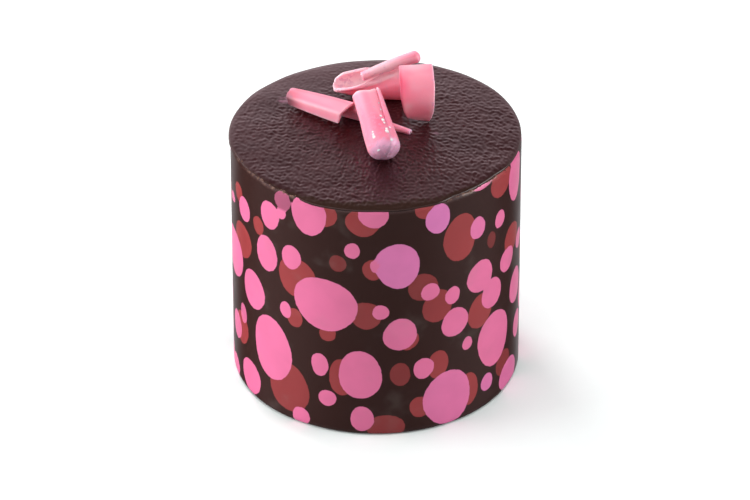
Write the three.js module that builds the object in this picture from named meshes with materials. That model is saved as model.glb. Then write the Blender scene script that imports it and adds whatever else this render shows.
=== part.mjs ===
// A small round ganache cake in a printed chocolate collar, with six pink
// chocolate curls on top. Millimetres, +Z up. The origin is the middle of the
// flat underside, and -Y is the side seen from the front.
import * as THREE from 'three';

// Driving dimensions of the cake and its collar.
const CAKE_DIAMETER = 65;
const CAKE_HEIGHT = 60;
const COLLAR_THICKNESS = 1;
const COLLAR_FOOT_FLARE = 0.3;
const COLLAR_SEAM_WIDTH = 0.5;
const FIT_GAP = 0.3;
const LIP_DEPTH = 0.9;
const LIP_SETBACK = 0.1;
const LIP_ROUNDING = 0.45;
const FOOT_ROUNDING = 0.6;

// Low relief of the poured top: pebbles, a sunk back left rim, an uneven lip.
const PEBBLE_HEIGHT = 0.09;
const PEBBLE_PITCH = 5;
const PEBBLE_WANDER = 0.8;
const PEBBLE_WANDER_RATE = 0.7;
const PEBBLE_ASPECT = 0.9;
const PEBBLE_SLANT = 0.35;
const PEBBLE_FADE_WIDTH = 3;
const RIM_DIP = 0.35;
const RIM_DIP_ANGLE = 125;
const LIP_BULGE = 0.25;
const LIP_BULGE_ANGLE = 185;
const RIM_REACH_POWER = 7;
const RIM_SPREAD_POWER = 3;

// Fineness of the round forms.
const ROUND_STEPS = 90;
const TOP_RINGS = 14;
const ROUNDING_STEPS = 4;
const CURL_STEP_DEGREES = 13;
const CURL_LENGTH_STEPS = 6;
const CORNER_SHARPNESS = 4;

// Values that follow from the driving dimensions.
const outerRadius = CAKE_DIAMETER / 2;
const collarInnerRadius = outerRadius - COLLAR_THICKNESS;
const coreRadius = collarInnerRadius - FIT_GAP;
const lipRadius = outerRadius - LIP_SETBACK;
const lipUnderside = CAKE_HEIGHT - LIP_DEPTH;
const collarTop = lipUnderside - FIT_GAP;
const topLevel = CAKE_HEIGHT - PEBBLE_HEIGHT;

// A curl is a thin shaving rolled about its own axis. It starts at `at`, runs
// along `heading` (degrees from +X) and rises by `slope`. Round the axis its
// angle is 0 on top and grows to the left of the run. `from` and `to` are the
// angles of its two free edges, and `radius` is its outer radius: each at the
// start and the end of the run, the radius also half way. `pitch` is how much
// a full turn winds inwards. `skew` slides each end along the run on top, and
// `corners` cuts back the four corners: start from/to, end from/to.
const CURLS = [
  {
    name: 'curl_left',
    at: [-18.9, 12.2, 61.6],
    heading: -39,
    slope: 5.7,
    length: 16.2,
    radius: [2.05, 2.75, 2.85],
    thickness: 0.8,
    from: [-112, -115],
    to: [132, 70],
    skew: [-0.5, 0.5],
    corners: [0.4, 0.4, 0, 0],
  },
  {
    name: 'curl_front',
    at: [-2.3, 5.4, 66.3],
    heading: -78,
    slope: -7.4,
    length: 21,
    radius: [3.5, 3.7, 3.7],
    thickness: 0.55,
    from: [39, 17],
    to: [445, 423],
    pitch: 0.6,
    skew: [1.7, 0.9],
  },
  {
    name: 'curl_back',
    at: [-10.2, 15.2, 63.9],
    heading: -3,
    slope: 1,
    length: 16.8,
    radius: [2.35, 4.05, 4],
    thickness: 0.7,
    from: [-106, 6],
    to: [-300, -348.5],
    corners: [2.6, 2.6, 0, 0],
  },
  {
    name: 'curl_roll',
    at: [-3.2, 11.7, 67.1],
    heading: 9,
    slope: 18.4,
    length: 13.3,
    radius: [1.1, 1.35, 1.5],
    thickness: 0.5,
    from: [60, 60],
    to: [390, 390],
    bow: 0.3,
  },
  {
    name: 'curl_right',
    at: [4.6, 7.7, 65.2],
    heading: 5,
    slope: 0,
    length: 8.1,
    radius: [6.7, 6.8, 6.8],
    thickness: 0.8,
    from: [8, 8],
    to: [-120, -136],
    skew: [0.4, 0],
    corners: [0, 2.2, 0, 1.3],
  },
  {
    name: 'curl_under',
    at: [-7.2, 6.3, 61.5],
    heading: -29,
    slope: -2.7,
    length: 17.1,
    radius: [1.4, 0.9, 0.65],
    thickness: 0.45,
    from: [150, 150],
    to: [485, 485],
  },
];

const COLOURS = {
  ganache: '#4a3034',
  collar: '#3a2a28',
  curl: '#f593ac',
};

const radians = THREE.MathUtils.degToRad;
const blend = THREE.MathUtils.lerp;

function chocolate(colour, roughness) {
  return new THREE.MeshStandardMaterial({ color: colour, roughness, metalness: 0 });
}

function named(name, geometry, material) {
  const mesh = new THREE.Mesh(geometry, material);
  mesh.name = name;
  return mesh;
}

// Six times the volume that the faces enclose, negative if they point inwards.
function enclosed(positions, faces) {
  const corner = (index) => new THREE.Vector3().fromArray(positions, 3 * index);
  let sum = 0;
  for (let i = 0; i < faces.length; i += 3) {
    const across = corner(faces[i + 1]).cross(corner(faces[i + 2]));
    sum += corner(faces[i]).dot(across);
  }
  return sum;
}

// A closed thin solid between an outer and an inner face. pointAt(u, v, inner)
// gives the point of either face for u and v from 0 to 1.
function sheetSolid(stepsU, stepsV, pointAt) {
  const positions = [];
  const faces = [];
  const row = stepsV + 1;
  const layer = (stepsU + 1) * row;
  for (const inner of [false, true]) {
    for (let i = 0; i <= stepsU; i += 1) {
      for (let j = 0; j <= stepsV; j += 1) {
        positions.push(...pointAt(i / stepsU, j / stepsV, inner).toArray());
      }
    }
  }
  const quad = (a, b, c, d) => faces.push(a, b, c, a, c, d);
  for (let i = 0; i < stepsU; i += 1) {
    for (let j = 0; j < stepsV; j += 1) {
      const a = i * row + j;
      quad(a, a + row, a + row + 1, a + 1);
      quad(layer + a, layer + a + 1, layer + a + row + 1, layer + a + row);
    }
  }
  for (let i = 0; i < stepsU; i += 1) {
    const near = i * row;
    const far = near + stepsV;
    quad(near, layer + near, layer + near + row, near + row);
    quad(far, far + row, layer + far + row, layer + far);
  }
  for (let j = 0; j < stepsV; j += 1) {
    const first = j;
    const last = stepsU * row + j;
    quad(first, first + 1, layer + first + 1, layer + first);
    quad(last, layer + last, layer + last + 1, last + 1);
  }
  if (enclosed(positions, faces) < 0) faces.reverse();
  const geometry = new THREE.BufferGeometry();
  geometry.setAttribute('position', new THREE.Float32BufferAttribute(positions, 3));
  geometry.setIndex(faces);
  geometry.computeVertexNormals();
  return geometry;
}

// 1 in the direction `middle` (degrees) and falling smoothly to 0 behind it.
function towards(angle, middle) {
  const facing = (1 + Math.cos(angle - radians(middle))) / 2;
  return facing ** RIM_SPREAD_POWER;
}

// Low bumps with a wandering pattern, from -1 to 1.
function pebbles(x, y) {
  const k = (2 * Math.PI) / PEBBLE_PITCH;
  const bent = x + PEBBLE_WANDER * Math.sin(PEBBLE_WANDER_RATE * k * y);
  return Math.sin(k * bent) * Math.sin(k * (PEBBLE_ASPECT * y + PEBBLE_SLANT * bent));
}

function quarterRound(centreX, centreY, radius, fromDegrees) {
  const points = [];
  for (let i = 0; i <= ROUNDING_STEPS; i += 1) {
    const angle = radians(fromDegrees + (90 * i) / ROUNDING_STEPS);
    points.push(new THREE.Vector2(
      centreX + radius * Math.cos(angle),
      centreY + radius * Math.sin(angle),
    ));
  }
  return points;
}

// Half section of the cake: flat foot, straight core, then the ganache that
// spreads over the collar's top edge as a rounded lip.
function cakeProfile() {
  const points = [new THREE.Vector2(0, 0)];
  points.push(...quarterRound(coreRadius - FOOT_ROUNDING, FOOT_ROUNDING, FOOT_ROUNDING, -90));
  points.push(new THREE.Vector2(coreRadius, lipUnderside));
  points.push(new THREE.Vector2(lipRadius - LIP_ROUNDING / 2, lipUnderside));
  points.push(...quarterRound(lipRadius - LIP_ROUNDING, topLevel - LIP_ROUNDING, LIP_ROUNDING, 0));
  const topRadius = lipRadius - LIP_ROUNDING;
  for (let ring = 1; ring <= TOP_RINGS; ring += 1) {
    points.push(new THREE.Vector2(topRadius * (1 - ring / TOP_RINGS), topLevel));
  }
  return points;
}

function ganacheCake() {
  const geometry = new THREE.LatheGeometry(cakeProfile(), ROUND_STEPS);
  geometry.rotateX(Math.PI / 2);
  const position = geometry.attributes.position;
  for (let i = 0; i < position.count; i += 1) {
    const x = position.getX(i);
    const y = position.getY(i);
    const z = position.getZ(i);
    if (z <= lipUnderside) continue;
    const radius = Math.hypot(x, y);
    const angle = Math.atan2(y, x);
    const inland = THREE.MathUtils.clamp((lipRadius - radius) / PEBBLE_FADE_WIDTH, 0, 1);
    const bump = PEBBLE_HEIGHT * inland * pebbles(x, y);
    const nearRim = (radius / lipRadius) ** RIM_REACH_POWER;
    const thinning = (RIM_DIP / LIP_DEPTH) * towards(angle, RIM_DIP_ANGLE) * nearRim;
    const level = blend(z, lipUnderside, thinning);
    const outward = LIP_BULGE * towards(angle, LIP_BULGE_ANGLE) * nearRim;
    const grow = radius > 0 ? 1 + outward / radius : 1;
    position.setXYZ(i, x * grow, y * grow, level + bump);
  }
  geometry.computeVertexNormals();
  return named('ganache_cake', geometry, chocolate(COLOURS.ganache, 0.5));
}

// The thin chocolate band round the side, butted with a narrow seam behind.
function printedCollar() {
  const halfSeam = COLLAR_SEAM_WIDTH / 2 / outerRadius;
  const pointAt = (u, v, inner) => {
    const angle = Math.PI / 2 + halfSeam + u * 2 * (Math.PI - halfSeam);
    const z = blend(FIT_GAP, collarTop, v);
    const outside = outerRadius + COLLAR_FOOT_FLARE * (1 - v);
    const radius = inner ? collarInnerRadius : outside;
    return new THREE.Vector3(radius * Math.cos(angle), radius * Math.sin(angle), z);
  };
  return named('printed_collar', sheetSolid(ROUND_STEPS, 1, pointAt), chocolate(COLOURS.collar, 0.35));
}

// Value at v of a smooth curve through the start, bent by the middle, to the end.
function bend([start, middle, end], v) {
  return start * (1 - v) ** 2 + 2 * middle * v * (1 - v) + end * v ** 2;
}

function curl(shape) {
  const { length, radius, thickness, from, to } = shape;
  const { pitch = 0, bow = 0, skew = [0, 0], corners = [0, 0, 0, 0] } = shape;
  const pointAt = (u, v, inner) => {
    const first = blend(from[0], from[1], v);
    const turned = (blend(to[0], to[1], v) - first) * u;
    const angle = radians(first + turned);
    const nearFrom = (1 - u) ** CORNER_SHARPNESS;
    const nearTo = u ** CORNER_SHARPNESS;
    const start = skew[0] * Math.cos(angle) + corners[0] * nearFrom + corners[1] * nearTo;
    const finish = length + skew[1] * Math.cos(angle) - corners[2] * nearFrom - corners[3] * nearTo;
    const outside = bend(radius, v) - (pitch * Math.abs(turned)) / 360;
    const reach = inner ? outside - thickness : outside;
    return new THREE.Vector3(
      blend(start, finish, v),
      reach * Math.sin(angle),
      reach * Math.cos(angle) + 4 * bow * v * (1 - v),
    );
  };
  const steps = Math.ceil(Math.abs(to[0] - from[0]) / CURL_STEP_DEGREES);
  const geometry = sheetSolid(steps, CURL_LENGTH_STEPS, pointAt);
  const mesh = named(shape.name, geometry, chocolate(COLOURS.curl, 0.45));
  mesh.position.set(...shape.at);
  mesh.rotation.set(0, -radians(shape.slope), radians(shape.heading), 'ZYX');
  return mesh;
}

const body = new THREE.Group();
body.add(ganacheCake(), printedCollar());

const topping = new THREE.Group();
for (const shape of CURLS) topping.add(curl(shape));

const cake = new THREE.Group();
cake.add(body, topping);

export default cake;
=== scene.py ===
"""Looks of a small round ganache cake in a dotted chocolate collar, with pink chocolate curls on top.

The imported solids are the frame. Each piece here is a finer surface in the same place, worked out with numpy
on a grid of two parameters. Lengths in the tables are millimetres, and every mesh is in metres.
"""

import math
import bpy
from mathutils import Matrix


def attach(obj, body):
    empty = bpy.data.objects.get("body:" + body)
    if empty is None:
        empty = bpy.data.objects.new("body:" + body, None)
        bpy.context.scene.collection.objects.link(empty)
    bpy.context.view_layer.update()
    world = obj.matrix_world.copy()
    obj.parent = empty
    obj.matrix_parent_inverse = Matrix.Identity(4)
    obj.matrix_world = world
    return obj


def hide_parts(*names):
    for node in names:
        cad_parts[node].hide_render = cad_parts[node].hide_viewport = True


bl_info = {
    "name": "Ganache cake looks",
    "version": (1, 0, 0),
    "blender": (4, 5, 0),
    "location": "View3D > Sidebar > Cake",
    "description": "Builds a finely grained ganache top, a dotted chocolate collar and pink chocolate curls",
    "category": "Object",
}

from functools import partial

import bpy
import numpy as np
from bpy.props import FloatProperty, FloatVectorProperty, IntProperty, PointerProperty
from bpy.types import Operator, Panel, PropertyGroup
from mathutils import Matrix, Vector

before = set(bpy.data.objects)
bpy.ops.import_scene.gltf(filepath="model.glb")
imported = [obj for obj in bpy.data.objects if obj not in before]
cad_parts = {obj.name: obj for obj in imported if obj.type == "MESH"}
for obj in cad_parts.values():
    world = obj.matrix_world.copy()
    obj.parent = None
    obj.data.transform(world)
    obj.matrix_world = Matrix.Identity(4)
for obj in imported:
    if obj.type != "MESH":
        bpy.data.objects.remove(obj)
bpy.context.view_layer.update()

MM = 0.001
BODY = "root"

# The cake's driving sizes, as in the solids.
CAKE_RADIUS = 32.5
CAKE_HEIGHT = 60.0
COLLAR_THICKNESS = 1.0
COLLAR_FLARE = 0.3
COLLAR_SEAM = 0.5
FIT_GAP = 0.3
LIP_DEPTH = 0.9
LIP_ROUNDING = 0.45
FOOT_ROUNDING = 0.6
LIP_RADIUS = CAKE_RADIUS - 0.1
CORE_RADIUS = CAKE_RADIUS - COLLAR_THICKNESS - FIT_GAP
LIP_UNDERSIDE = CAKE_HEIGHT - LIP_DEPTH
COLLAR_TOP = LIP_UNDERSIDE - FIT_GAP
# Where the collar's cut edge is bared, in degrees from the front: from where, over how many it comes in, to
# where, and over how many it goes.
BARED_RANGES = ((-82, 10, -24, 12), (24, 10, 64, 10))
# Directions round the top in degrees from +X: where the lip hangs out at the left and the back right, where
# it thins, where the grain is calm, where the top rolls off, and where the rim is highest.
LEFT, BACK_RIGHT, THIN_SIDE, CALM_SIDE, FRONT, HIGH_SIDE = 185, 48, 125, 120, -90, 40
# How far the top lies under the solid's level one, so that its relief has room.
RELIEF_ROOM = 0.09
# How far the ganache hangs out at the back right, how uneven its lip is all round, and how far it draws
# back where the collar's cut edge is bared.
RIGHT_BULGE = 0.25
LIP_UNEVENNESS = 0.07
BARED_RETREAT = 0.62
# How far the collar's edge stands up everywhere, and how much further where it is bared, and how far its
# side bows.
EDGE_STAND = 0.3
BARED_STAND = 0.35
COLLAR_BOW = 0.06

# The printed dots: degrees round the side from the front (+ to the right), height of the middle, width and
# height, and where they aren't plain, how violet and how thin the colour is, both from 0 to 1.
PINK_DOTS = (
    (-27, 56, 8.3, 10.5), (-39, 57.3, 4.7, 4.7, 0, 0.52), (-39.5, 54, 2.4, 3.1), (-46, 52, 5.9, 7),
    (-64, 48.3, 5.6, 6.2), (-78, 47, 3.5, 2.5), (-48, 41.5, 6.9, 8.8), (-35, 43.6, 5.1, 6.2),
    (-20.5, 33.7, 14.9, 13.6), (-77, 33.2, 12.5, 12), (-57, 29.3, 8.4, 10.1), (-38, 29.2, 3.1, 4.3),
    (-45.6, 17, 11.7, 16.5), (-60, 5, 8.1, 8.9), (-74, 14.4, 6, 7.5, 0, 0.1), (-66, 20, 3.5, 5, 0, 0.2),
    (-77, 2.5, 6, 5), (-31, 2, 4.4, 5), (-22.6, 17.5, 4.1, 6), (-19.5, 8.9, 4.2, 4.3), (-1, 58, 6.6, 6.5),
    (-9.3, 48.7, 3.6, 3.9), (8.3, 44.8, 10, 11.6, 0.5, 0), (0.3, 45, 3, 3.5), (21.5, 36.9, 4.3, 4.5),
    (1.8, 32.9, 3.6, 3.9), (9.4, 26.8, 7.6, 8.3), (-6.3, 16.1, 9.9, 12.4), (18.9, 17, 4.7, 5.6),
    (-5.5, 4.4, 5.4, 6.5), (29.4, 7.5, 11.9, 14.6, 0.2, 0), (24.6, 55.4, 6, 7.3, 0.7, 0),
    (43.5, 49.3, 4.5, 5.7, 0.2, 0), (57.5, 47.8, 4.1, 4.4), (72, 54.7, 8.3, 12.5), (46.5, 60.3, 8, 3.2),
    (45.3, 36.2, 8, 8.3), (52.5, 29.8, 7.4, 7.5), (64, 35.2, 6.7, 6.1), (31.2, 34.4, 3.8, 4.5),
    (32.5, 27.1, 6.9, 7.6), (38.5, 20.1, 2.9, 3.4), (54.5, 17.2, 11.9, 14.2), (74, 25, 8, 9),
    (78.4, 36, 5, 5), (77.3, 13.5, 6, 7), (49.8, 6.6, 4.1, 4.6, 0.4, 0), (67, 3.5, 9.5, 8, 0.2, 0),
    (88, 19, 8, 9), (89, 46, 6, 7), (92, 3, 7, 8), (91, 58, 5, 5, 0.3, 0),
)
RED_DOTS = (
    (-53, 47.4, 3.8, 4.7), (-69.5, 51, 4.7, 4.7), (-32.6, 38.8, 9.5, 10.5), (-66, 39.7, 9, 8.6),
    (-33.5, 28, 4, 5), (-19.3, 26.3, 3.8, 4.5), (-37, 8.8, 11.2, 12.8, 0, 0.15), (-68, 15.6, 7, 8.5),
    (-20.5, 57, 6, 6), (-5.2, 56, 7.4, 7), (-15, 45, 3.8, 4.3, 0, 0.4), (-1.3, 44, 4.5, 5.4),
    (18.5, 38.5, 7, 7, 0, 0.3), (-4, 32, 7, 7.2, 0, 0.15), (12.5, 25.2, 4.8, 5.5), (-13.5, 15, 6, 9.4),
    (9.4, 16.2, 4.6, 6.2, 0, 0.3), (3.7, 2, 8.5, 7, 0, 0.2), (17.5, 6.8, 5, 5.5), (25, 17.2, 5, 7.5),
    (19.5, 58.5, 5, 5), (34.7, 48.8, 8.9, 11.7), (51.7, 44, 3, 4.3, 0, 0.5), (58.5, 57.2, 8.5, 7.5),
    (45.5, 27, 7.5, 9), (68.5, 39.5, 8, 7.5), (24.6, 32.7, 7.2, 8.4, 0, 0.15), (39.5, 7.5, 5.5, 8.5),
    (61.5, 8.3, 6.5, 6.5, 0, 0.3), (-88, 46, 6, 7), (87, 31, 6, 7), (90, 10, 6, 7),
)
# The sheet repeats after half a turn, as a printed strip does.
PRINT_REPEAT_DEGREES = 180
# Distance in mm from any dot that the collar's bare inner face reads.
UNPRINTED = -9.0
# Edges of a sheet that are sharper than this aren't shaded smooth.
SHARP_DEGREES = 50

# The curls, with the same forms and places as the solids. `at` is where the roll's axis starts, `heading`
# and `slope` are where it runs, and `bow` is how far it arches up. Angles round the axis are 0 on top and
# grow to the left of the run. `from` and `to` are the free edges at the start and the end, `radius` is the
# outer radius there, with a middle value that draws the curve between, and `pitch` is how far the spiral
# closes in with each turn.
#
# Forms of the edges: `skew` is how much further along the run the start and the end lie on top. `corners`
# cuts the start back at the first and the last free edge, and then the end. `dip` cuts the start back in
# one place: angle, half width, depth. `bites` are broken out of the last free edge: place along the run,
# half width, degrees. `ragged` is how uneven the start and the end are, and `seed` draws that. `capped` is
# how far the end rounds shut, and `lip` is how wide a rolled lip the first free edge has, painted pale as a
# highlight. `ridges` are long folds, or grooves where negative: angle, half width in degrees, height in mm.
#
# Colours: `wet` is how far the start is wet in mm and how much, and then the end, and `damp` is how wet the
# rest is. `rim` is how wide the pale band at the start is, and `edge` and `end_pale` are how pale the free
# edges and the end are; all three are painted highlight, partly the paler colour of thin chocolate. `tones`
# are soft patches of painted shade, or painted light where negative: mm along the run, angle, reach along
# the run in mm, reach in degrees, strength. `melted` is how far, in mm, and how much the start has melted
# into the dark ganache, and on the right curl it is painted shade on the lit left edge.
CURLS = {
    "curl_left": {
        "at": (-18.9, 12.2, 61.6), "heading": -39, "slope": 5.7, "length": 16.2, "radius": (2.05, 2.75, 2.85),
        "thickness": 0.8, "from": (-112, -115), "to": (140, 95), "skew": (-0.5, 1),
        "corners": (0.4, 0.4, 0, 0), "ridges": ((-66, 13, 0.25), (-22, 30, -0.22), (-122, 26, 0.4)),
        "ragged": 0.08, "seed": 11,
        "wet": (2.5, 0.8, 0, 0), "tones": ((9, -98, 8, 18, 0.4),), "melted": (6.2, 0.92),
    },
    "curl_front": {
        "at": (-2.3, 5.4, 66.3), "heading": -78, "slope": -7.4, "length": 22.2, "radius": (3.5, 3.7, 3.7),
        "thickness": 0.55, "from": (39, 17), "to": (445, 423), "pitch": 0.6, "skew": (1.7, 0.9),
        "dip": (0, 38, 0.5), "ridges": ((-44, 14, 0.08), (40, 14, 0.08)), "capped": 3.0,
        "ragged": 0.06, "seed": 12,
        "wet": (0, 0, 4.5, 1), "damp": 0.22, "rim": 1.8, "edge": 0.1,
        "tones": ((15, -2, 4, 18, 0.5), (10, 24, 8, 10, 0.4), (12, -52, 9, 16, 0.15), (15, 0, 7, 70, 0.3)),
    },
    "curl_back": {
        "at": (-10.2, 15.2, 63.9), "heading": -3, "slope": 1.0, "length": 16.8, "radius": (2.35, 4.05, 4),
        "thickness": 0.7, "from": (-106, 6), "to": (-300, -348.5), "corners": (2.6, 2.6, 0, 0),
        "bites": ((0.46, 0.11, 14),), "lip": 1.1, "ragged": 0.07, "seed": 13,
        "wet": (5.0, 0.45, 0, 0), "damp": 0.15, "rim": 3.5, "end_pale": 0,
        "tones": ((9, -94, 7, 14, 0.35), (6, 100, 9, 75, -1), (14, -16, 5, 34, -0.8)),
    },
    "curl_roll": {
        "at": (-3.2, 11.7, 67.1), "heading": 9, "slope": 18.4, "length": 13.9, "radius": (1.1, 1.35, 1.5),
        "thickness": 0.5, "from": (60, 60), "to": (390, 390), "bow": 0.3, "ridges": ((-50, 16, 0.08),),
        "capped": 1.1, "ragged": 0.08, "seed": 14,
        "wet": (9.0, 0.4, 0, 0), "damp": 0.15, "tones": ((5, -60, 7, 150, -0.6),),
    },
    "curl_right": {
        "at": (4.6, 7.7, 65.2), "heading": 5, "slope": 0, "length": 8.1, "radius": (6.7, 6.8, 6.8),
        "thickness": 0.8, "from": (8, 8), "to": (-120, -136), "skew": (0.4, 0), "corners": (0, 2.2, 0, 1.3),
        "ragged": 0.04, "seed": 15,
        # The melted start and the first two tones are painted shade on the left edge, where the curl behind
        # shades it.
        "wet": (0, 0, 1.8, 0.7), "melted": (0.7, 0.5),
        "tones": (
            (0.8, -46, 1.8, 28, 0.8), (0, -50, 0.7, 80, 0.6), (4, -2, 5, 24, -0.4),
            (1.6, -88, 1.6, 18, -0.5), (4, -122, 5, 10, -0.4), (7.6, -96, 1.2, 34, -0.4),
        ),
    },
    "curl_under": {
        "at": (-7.2, 6.3, 61.5), "heading": -29, "slope": -2.7, "length": 17.1, "radius": (1.4, 0.9, 0.65),
        "thickness": 0.45, "from": (150, 150), "to": (485, 485), "ragged": 0.08, "seed": 16,
        "wet": (0, 0, 3, 0.9), "rim": 0.4,
    },
}

# Size of a shaving's grid across and along, in mm.
STEP_ACROSS = 0.2
STEP_ALONG = 0.25
# The spiral's pitch fades from this share of the run, over this much more, and the rounding of the first
# free edge, which is hidden there, over these.
PITCH_FADE = (0.3, 0.5)
EDGE_FADE = (0.4, 0.4)
# Just short of a full turn, a sheet dives under its first edge within a few degrees, and clears it by a
# little.
OVERLAP_DEGREES = 359.5
DIVE_DEGREES = 6
SHEET_CLEARANCE = 0.05
# How far a rolled lip rises, and how deep the groove beside it is.
ROLL_RISE = 0.24
ROLL_GROOVE = 0.1
# A dome stops just short of its pole, as a share and in degrees, and an inner face just short of the axis.
NEAR_POLE, NEAR_POLE_DEGREES = 0.9998, 89
NEAR_AXIS = 0.01
# How pale free edges and folds are painted, over how many mm from a free edge and from the end, and how
# high a fold is that is painted pale at all: painted highlight where they catch the light, partly the paler
# colour of thin chocolate.
PALE_EDGE_LIGHT = 0.45
PALE_EDGE_REACH, PALE_END_REACH = 0.5, 0.6
PALE_FOLD_HEIGHT = 0.2
# The wet part ends over this many mm, and its limit wanders this far.
WET_FADE = 3
WET_WANDER = 0.7
# A curl is darkened below this height, over this depth, as painted shade where it comes near the ganache,
# and where its start has melted, from this far above its first corner, over this depth.
LOW_SHADE_TOP, LOW_SHADE_DEPTH = 61.5, 1.5
MELT_TOP, MELT_DEPTH = 3.1, 1.9

# Beads of moisture on one curl, drawn white as painted highlights: mm along its run, angle round its axis,
# width in mm.
BEAD_CURL = "curl_front"
BEAD_STRETCH = 1.35
BEAD_FLATNESS = 0.5
BEADS = (
    (12.4, 12, 0.52), (14.0, 14, 0.72), (15.1, 15, 0.52), (18.3, 13, 0.91), (17.4, 15, 0.59),
    (16.6, 30, 0.52), (20.5, 22, 1.23), (21.3, 50, 0.78), (20.9, 38, 0.59), (19.1, -37, 0.78),
    (18.2, -37, 0.59), (17.3, -35, 0.45), (21.6, -50, 0.91), (21.4, -30, 0.52), (21.9, 5, 0.52),
    (20.9, -8, 0.39), (9.6, 25, 0.45), (7.0, 29, 0.39),
)
# Melted pink left on the ganache: where its middle is, how far it reaches, and how strong it is.
SMEARS = ((-20.4, 13.2, 2.0, 0.22), (13.4, -1.6, 0.9, 0.16))
# Where the crumbs lie: from and to in degrees from the front, and the share of them.
CRUMB_RANGES = ((-75, -28, 0.45), (28, 62, 0.35), (-180, 180, 0.2))
# A crumb's least and most radius, and how far it lies inside the collar's outer face, all in mm.
CRUMB_SIZES = (0.07, 0.2)
CRUMB_DEPTHS = (0.05, 0.75)

# Camera: as fitted to the photograph's outline, which is 750 by 500.
IMAGE_WIDTH = 750
CAMERA_ELEVATION = 32.64
CAMERA_DISTANCE = 935.4
CAMERA_TARGET_HEIGHT = 28.4
CAMERA_FOCAL_PIXELS = 4115.8
CAMERA_CENTRE_OFFSET_PIXELS = 1.11
SENSOR_WIDTH = 36.0

# Softboxes: name, the stage's power that it takes, place in metres, width, height, and whether it is
# mirrored.
SOFTBOXES = (
    ("key_left", "key", (-0.97, -0.02, 0.24), 0.7, 0.4, False),
    ("back_left", "back", (-0.4, 0.65, 0.65), 0.35, 0.35, False),
    ("fill_right", "fill", (0.95, -0.14, 0.33), 0.5, 0.5, True),
    ("top_light", "top", (0.0, -0.1, 1.1), 0.8, 0.8, False),
)
SOFTBOX_TARGET = (0, 0, 0.04)
FLOOR_REACH = 3.0

# Settings of nodes: a smooth S between two values, a mix of colours, and sums.
SMOOTH = {"interpolation_type": "SMOOTHSTEP"}
COLOUR = {"data_type": "RGBA"}
TIMES = {"operation": "MULTIPLY"}
PLUS = {"operation": "ADD"}


def linear(code):
    """An sRGB hex colour as linear red, green and blue."""
    parts = np.array([int(code[i : i + 2], 16) for i in (1, 3, 5)]) / 255
    values = np.where(parts <= 0.04045, parts / 12.92, ((parts + 0.055) / 1.055) ** 2.4)
    return tuple(float(v) for v in values)


def colour(name, description, code):
    """A colour property that starts from an sRGB hex value."""
    return FloatVectorProperty(
        name=name, description=description, subtype="COLOR", size=3, min=0, max=1, default=linear(code)
    )


def length(name, description, millimetres):
    """A length property in metres, given in millimetres."""
    return FloatProperty(
        name=name, description=description, unit="LENGTH", precision=5, min=0, default=millimetres * MM
    )


def watts(name, description, power):
    """The power of a light."""
    return FloatProperty(name=name, description=description, unit="POWER", min=0, default=power)


class CakeSizes(PropertyGroup):
    """Sizes of the relief and the print."""

    grain_length: length("Grain length", "Middle wavelength of the fine grain of the ganache top", 1.55)
    grain_height: length("Grain height", "How far the grain rises from hollow to crest", 0.138)
    swell_height: length("Swell height", "Slow rise and fall of the poured top", 0.12)
    crown_rise: length("Crown rise", "How far the middle of the top stands above its rim", 0.4)
    rim_tilt: length("Rim tilt", "How much higher the rim is at the back right", 0.2)
    rim_roll: length("Rim roll", "How far the top rolls off inside its rim", 0.3)
    rim_dip: length("Rim dip", "How much the lip thins out at the back left", 0.55)
    lip_bulge: length("Lip bulge", "How far the ganache hangs over the collar at the left", 0.6)
    collar_wave: length("Collar wave", "Unevenness of the collar's cut top edge", 0.14)
    curl_ripple: length("Curl ripple", "Depth of the soft ridges along a shaving", 0.045)
    edge_rounding: length("Edge rounding", "Rounding of a shaving's edges", 0.24)
    crumbs: IntProperty(name="Rim crumbs", description="Flakes along the collar's edge", min=0, default=140)


class CakeColours(PropertyGroup):
    """Colours of the chocolate and the print."""

    ganache: colour("Ganache", "Dark poured ganache of the top", "#301315")
    ganache_lip_and_shade: colour("Ganache lip", "Thin browner ganache of the rounded lip", "#2c1912")
    # Also painted shade where the lip's band reaches further in at the front.
    chocolate: colour("Collar chocolate", "Tempered dark chocolate of the collar", "#341d1a")
    pink: colour("Pink print", "Pink cocoa butter of the dots", "#d96994")
    violet: colour("Violet print", "The more violet dots", "#cf74b4")
    red: colour("Red print", "Red cocoa butter under the pink", "#953739")
    curl: colour("Curl", "Pink chocolate of the curls", "#fa95a8")
    # Used for the random streaks, and as painted shade in soft patches and on inner faces.
    curl_deep: colour("Curl shade", "Deeper pink inside the rolls", "#f06a88")
    curl_wet: colour("Wet curl", "Where the pink chocolate is wet and melting", "#f2accb")
    # Painted highlight on edges, folds, the rolled lip and lit patches, partly the paler colour of thin
    # edges.
    curl_pale_lit: colour("Pale curl edge", "Thin and rubbed edges of a shaving", "#ffdbdf")
    # Also painted shade on a curl's lower parts near the ganache, and on the right curl's lit left edge.
    stain: colour("Stained curl", "Pink chocolate that has melted into the dark where they touch", "#5c3238")
    # Painted sheen: faint grey patches laid at random on the chocolate.
    grey_sheen: colour("Bloom", "Faint grey film on the set chocolate", "#8a827c")
    crumb: colour("Crumb", "Flakes of the collar's broken edge", "#7c5c4d")


class CakeStage(PropertyGroup):
    """Light and floor."""

    key: watts("Key light", "Softbox on the left", 11.6)
    back: watts("Back light", "High softbox behind on the left", 4.0)
    fill: watts("Fill light", "Softbox on the right", 5.8)
    top: watts("Top light", "Softbox overhead", 6.0)
    room: FloatProperty(name="Room", description="Strength of the room's soft light", min=0, default=0.34)
    floor: colour("Floor", "Plain pale floor", "#f8fcfb")


def sizes():
    return bpy.context.scene.cake_sizes


def colours():
    return bpy.context.scene.cake_colours


def smooth(x):
    """0 below 0, 1 above 1, and a smooth S between."""
    t = np.clip(x, 0, 1)
    return t * t * (3 - 2 * t)


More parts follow.
